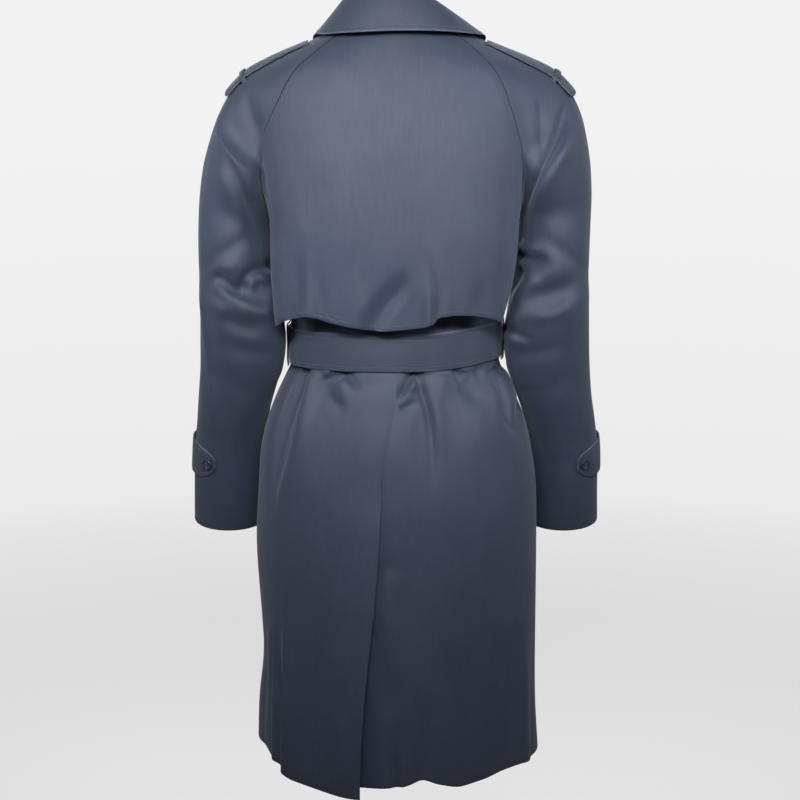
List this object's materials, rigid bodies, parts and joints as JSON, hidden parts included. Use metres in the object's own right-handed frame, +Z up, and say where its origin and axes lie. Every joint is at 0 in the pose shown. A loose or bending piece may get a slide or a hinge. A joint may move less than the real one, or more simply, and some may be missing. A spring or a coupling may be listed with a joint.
{
  "type": "trench coat",
  "caption": "Belted double-breasted trench coat, worn: raglan sleeves, back storm flap, epaulettes, cuff tabs and a back vent.",
  "frame": {"origin": "middle of the neck opening at the height of the back neck seam, where the wearer's neck and shoulders hold the coat", "axes": "+Z up along the hanging coat, -Y towards its front, +X to the wearer's left"},
  "size_m": [0.598, 0.3032, 1.0976],
  "materials": {
    "outer_cloth": "navy cotton gabardine, fine twill, soft sheen",
    "belt_cloth": "the same navy gabardine, stiffened and topstitched",
    "button": "dark navy four-hole buttons, polished rim",
    "buckle": "dark moulded buckle, satin"
  },
  "bodies": {
    "root": {"back_left": "outer_cloth", "back_right": "outer_cloth", "front_left": "outer_cloth", "front_right": "outer_cloth", "lapel_left": "outer_cloth", "lapel_right": "outer_cloth", "sleeve_left_back": "outer_cloth", "sleeve_left_front": "outer_cloth", "sleeve_right_back": "outer_cloth", "sleeve_right_front": "outer_cloth", "storm_flap": "outer_cloth", "collar_stand": "outer_cloth", "collar_fall": "outer_cloth", "epaulette_left": "outer_cloth", "epaulette_right": "outer_cloth", "epaulette_loop_left": "outer_cloth", "epaulette_loop_right": "outer_cloth", "cuff_tab_left": "outer_cloth", "cuff_tab_right": "outer_cloth", "belt_loop_left": "outer_cloth", "belt_loop_right": "outer_cloth", "belt": "belt_cloth", "buckle_frame": "buckle", "buckle_bar": "buckle", "buckle_prong": "buckle", "cuff_button_left": "button", "cuff_button_right": "button", "front_button_1": "button", "front_button_2": "button", "front_button_3": "button", "front_button_4": "button", "front_button_5": "button", "front_button_6": "button", "front_button_7": "button", "front_button_8": "button"}
  },
  "joints": []
}
